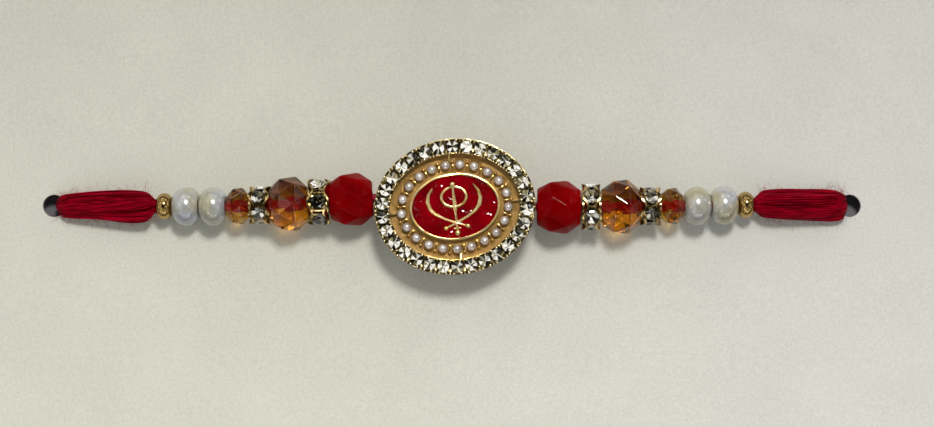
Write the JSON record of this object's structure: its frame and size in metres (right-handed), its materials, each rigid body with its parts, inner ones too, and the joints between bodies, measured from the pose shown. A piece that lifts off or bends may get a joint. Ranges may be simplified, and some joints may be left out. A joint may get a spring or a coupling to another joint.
{
  "type": "rakhi thread bracelet on a card",
  "caption": "Red silk thread bracelet with glass beads, stone-set spacers and an oval enamelled medallion, held on a plain card by two punched holes.",
  "frame": {"origin": "on the table plane, under the middle of the card, midway between its two thread holes", "axes": "+X along the thread, +Y up the card's face as seen in the picture, +Z out of the card"},
  "size_m": [0.15, 0.1, 0.0119],
  "materials": {
    "card_paper": "uncoated off-white board with a soft, slightly felted face",
    "silk_floss": "crimson twisted silk floss",
    "gilt_casting": "gilt casting, bright at the rim and satin in the dish",
    "bright_gilt": "polished gilt metal",
    "spacer_gilt": "gilt stamped metal",
    "clear_stone": "clear cut stones with foiled backs",
    "pearl": "small imitation pearls",
    "red_enamel": "glossy red enamel",
    "red_glass": "opaque dark red cut glass",
    "amber_glass": "transparent amber cut glass",
    "pearly_glass": "opaque white glass with a pearly coat"
  },
  "bodies": {
    "root": {"card": "card_paper", "thread_front": "silk_floss", "thread_back": "silk_floss", "thread_knot": "silk_floss", "medallion_frame": "gilt_casting", "rim_stones": "clear_stone", "seed_pearls": "pearl", "emblem_plaque": "bright_gilt", "enamel": "red_enamel", "red_bead_left": "red_glass", "amber_bead_left": "amber_glass", "small_amber_left": "amber_glass", "white_bead_left_1": "pearly_glass", "white_bead_left_2": "pearly_glass", "gold_bead_left": "bright_gilt", "large_spacer_left": "spacer_gilt", "large_spacer_stones_left": "clear_stone", "small_spacer_left": "spacer_gilt", "small_spacer_stones_left": "clear_stone", "red_bead_right": "red_glass", "amber_bead_right": "amber_glass", "small_amber_right": "amber_glass", "white_bead_right_1": "pearly_glass", "white_bead_right_2": "pearly_glass", "gold_bead_right": "bright_gilt", "large_spacer_right": "spacer_gilt", "large_spacer_stones_right": "clear_stone", "small_spacer_right": "spacer_gilt", "small_spacer_stones_right": "clear_stone"}
  },
  "joints": []
}
